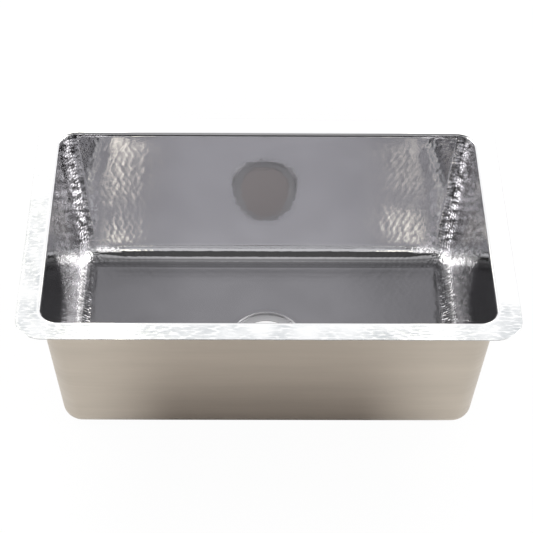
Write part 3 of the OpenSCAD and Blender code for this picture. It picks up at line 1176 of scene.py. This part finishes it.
# Brightness of the room by degrees from the front horizon, over the top, to the back horizon. The front
# half ends over the sink between two of these
front_ends = (96.0, 101.0)
room_stops = (
    (0.0, 0.33), (23.0, 0.38), (25.0, 2.5), (29.5, 2.5), (31.0, 0.12), (46.5, 0.12), (48.5, 0.78),
    (62.0, 0.76), (70.0, 0.40), (76.0, 0.34), (97.0, 0.40), (101.0, 1.5), (108.0, 1.76), (180.0, 1.76),
)
# The front half is darker beside its middle: share of its brightness by how far a direction points aside
front_shares = (
    (0.0, 1.0), (0.05, 0.95), (0.10, 0.74), (0.18, 0.64), (0.205, 0.24), (0.30, 0.22), (0.36, 0.55),
    (0.44, 0.80), (0.60, 0.80),
)
# Share of the bright sides in the front half, from the left to the right
front_side_shares = (
    (-1.0, 1.0), (-0.88, 1.0), (-0.76, 0.30), (-0.66, 0.05), (-0.45, 0.02), (-0.30, 0.0),
    (0.30, 0.0), (0.42, 0.05), (0.58, 0.08), (0.65, 0.38), (0.76, 0.50), (0.86, 1.0), (1.0, 1.0),
)
# The same in the back half
back_side_shares = (
    (-1.0, 1.0), (-0.84, 1.0), (-0.70, 0.05), (-0.60, 0.0),
    (0.60, 0.0), (0.70, 0.05), (0.84, 1.0), (1.0, 1.0),
)
# Brightness of the sides by degrees over the top: they are brightest low at the back
side_stops = (
    (0.0, 4.0), (52.0, 4.0), (64.0, 10.0), (94.0, 10.0), (101.0, 3.0), (112.0, 3.0), (122.0, 6.0),
    (130.0, 13.0), (152.0, 13.0), (160.0, 2.0), (180.0, 1.76),
)
brightest = 3.0
brightest_side = 14.0
cream = (1.0, 0.945, 0.75)
pale = (1.0, 0.985, 0.955)


def add_ramp(tree, value, stops, brightest_grey=1.0):
    """Straight lines between stops, over the value's range from the first stop to the last."""
    low = stops[0][0]
    high = stops[-1][0]
    ramp = tree.nodes.new("ShaderNodeValToRGB")
    ramp.color_ramp.interpolation = "LINEAR"
    marks = ramp.color_ramp.elements
    while len(marks) < len(stops):
        marks.new(0.5)
    for mark, (place, grey) in zip(marks, stops):
        mark.position = (place - low) / (high - low)
        mark.color = (*[grey / brightest_grey] * 3, 1.0)
    tree.links.new(add_range(tree, value, low, high, 0.0, 1.0), ramp.inputs["Fac"])
    return math_node(tree, "MULTIPLY", ramp.outputs["Color"], brightest_grey)


def light_room():
    """World: bright behind the sink and at its sides, and a dark and a grey band over its front."""
    world = bpy.data.worlds.new("studio_room")
    world.use_nodes = True
    tree = world.node_tree
    way = tree.nodes.new("ShaderNodeSeparateXYZ")
    tree.links.new(tree.nodes.new("ShaderNodeTexCoord").outputs["Generated"], way.inputs[0])
    forward = math_node(tree, "MULTIPLY", way.outputs["Y"], -1.0)
    over = math_node(tree, "ARCTAN2", way.outputs["Z"], forward)
    turn = math_node(tree, "MULTIPLY", over, 180.0 / math.pi)
    front = add_range(tree, turn, *front_ends, 1.0, 0.0)
    aside = math_node(tree, "ABSOLUTE", way.outputs["X"])
    lost = math_node(tree, "SUBTRACT", 1.0, add_ramp(tree, aside, front_shares))
    kept = math_node(tree, "SUBTRACT", 1.0, math_node(tree, "MULTIPLY", lost, front))
    room = tree.nodes["Background"]
    over_top = add_ramp(tree, turn, room_stops, brightest)
    tree.links.new(math_node(tree, "MULTIPLY", over_top, kept), room.inputs["Strength"])
    room.inputs["Color"].default_value = (1.0, 1.0, 1.0, 1.0)
    sides = tree.nodes.new("ShaderNodeBackground")
    sides.inputs["Color"].default_value = (*pale, 1.0)
    tree.links.new(add_ramp(tree, turn, side_stops, brightest_side), sides.inputs["Strength"])
    in_front = math_node(tree, "MULTIPLY", add_ramp(tree, way.outputs["X"], front_side_shares), front)
    behind = math_node(tree, "SUBTRACT", 1.0, front)
    in_back = math_node(tree, "MULTIPLY", add_ramp(tree, way.outputs["X"], back_side_shares), behind)
    blend = tree.nodes.new("ShaderNodeMixShader")
    tree.links.new(math_node(tree, "ADD", in_front, in_back), blend.inputs["Fac"])
    tree.links.new(room.outputs[0], blend.inputs[1])
    tree.links.new(sides.outputs[0], blend.inputs[2])
    tree.links.new(blend.outputs[0], tree.nodes["World Output"].inputs["Surface"])
    bpy.context.scene.world = world


# Upright plane behind the sink that the slim lights stand in, in metres. Each light has its name, its
# middle from left to right and its height, its width and height, and its brightness
slim_light_y = 0.78
slim_lights = (
    ("left_high_light", -0.362, 1.180, (0.10, 0.40), 5.8),
    ("left_low_light", -0.356, 0.790, (0.09, 0.17), 6.6),
    ("right_high_light", 0.374, 1.200, (0.08, 0.30), 2.4),
    ("right_low_light", 0.364, 0.830, (0.09, 0.20), 4.8),
)


def slim_light(name, middle_x, middle_z, size, brightness):
    """Small upright rectangular lamp behind the sink, facing it."""
    light = bpy.data.lights.new(name, "AREA")
    light.shape = "RECTANGLE"
    light.size, light.size_y = size
    light.energy = brightness * math.pi * size[0] * size[1]
    light.color = cream
    lamp = bpy.data.objects.new(name, light)
    lamp.location = (middle_x, slim_light_y, middle_z)
    lamp.rotation_euler = (-math.pi / 2.0, 0.0, 0.0)
    lamp.visible_camera = False
    bpy.context.scene.collection.objects.link(lamp)
    return lamp


def light_studio():
    """The room, and slim cream lights behind both ends of the sink."""
    for light in slim_lights:
        slim_light(*light)
    light_room()


# Camera: its place in metres, and the way it points, in degrees
camera_place = (-0.03623, -2.063137, 2.194177)
camera_pitch = 44.3885
camera_yaw = 0.96049
camera_roll = 0.84121
camera_lens = 120.186
camera_sensor = 36.0


def stand_camera():
    """Camera at the photograph's viewing angle, from its pitch, yaw and roll."""
    pitch = math.radians(camera_pitch)
    yaw = math.radians(camera_yaw)
    roll = math.radians(camera_roll)
    forward = Vector((math.sin(yaw) * math.cos(pitch), math.cos(yaw) * math.cos(pitch), -math.sin(pitch)))
    level = Vector((math.cos(yaw), -math.sin(yaw), 0.0))
    upright = level.cross(forward)
    right = math.cos(roll) * level + math.sin(roll) * upright
    up = -math.sin(roll) * level + math.cos(roll) * upright
    lens = bpy.data.cameras.new("camera")
    lens.lens = camera_lens
    lens.sensor_width = camera_sensor
    camera = bpy.data.objects.new("camera", lens)
    turn = Matrix((right, up, -forward)).transposed().to_4x4()
    camera.matrix_world = Matrix.Translation(camera_place) @ turn
    bpy.context.scene.collection.objects.link(camera)
    bpy.context.scene.camera = camera


stand_camera()
polished_steel = polished_hammered_steel()
satin_steel = satin_brushed_steel()
rim_steel = hammered_rim_steel()
turned_steel = smooth_turned_steel()
rubber = pad_rubber()

bowl = make_bowl()
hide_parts("bowl")
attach(bowl, "root")

rim = make_rim()
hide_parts("rim_flange")
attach(rim, "root")

seat = make_drain_seat()
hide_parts("drain_seat")
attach(seat, "root")

for node, side in (("pad_left", -1.0), ("pad_right", 1.0)):
    pad = make_sound_pad(node + "_sheet", side)
    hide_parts(node)
    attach(pad, "root")

make_studio_floor()
light_studio()
bpy.context.scene.view_settings.view_transform = "Standard"
bpy.context.scene.cycles.glossy_bounces = 10
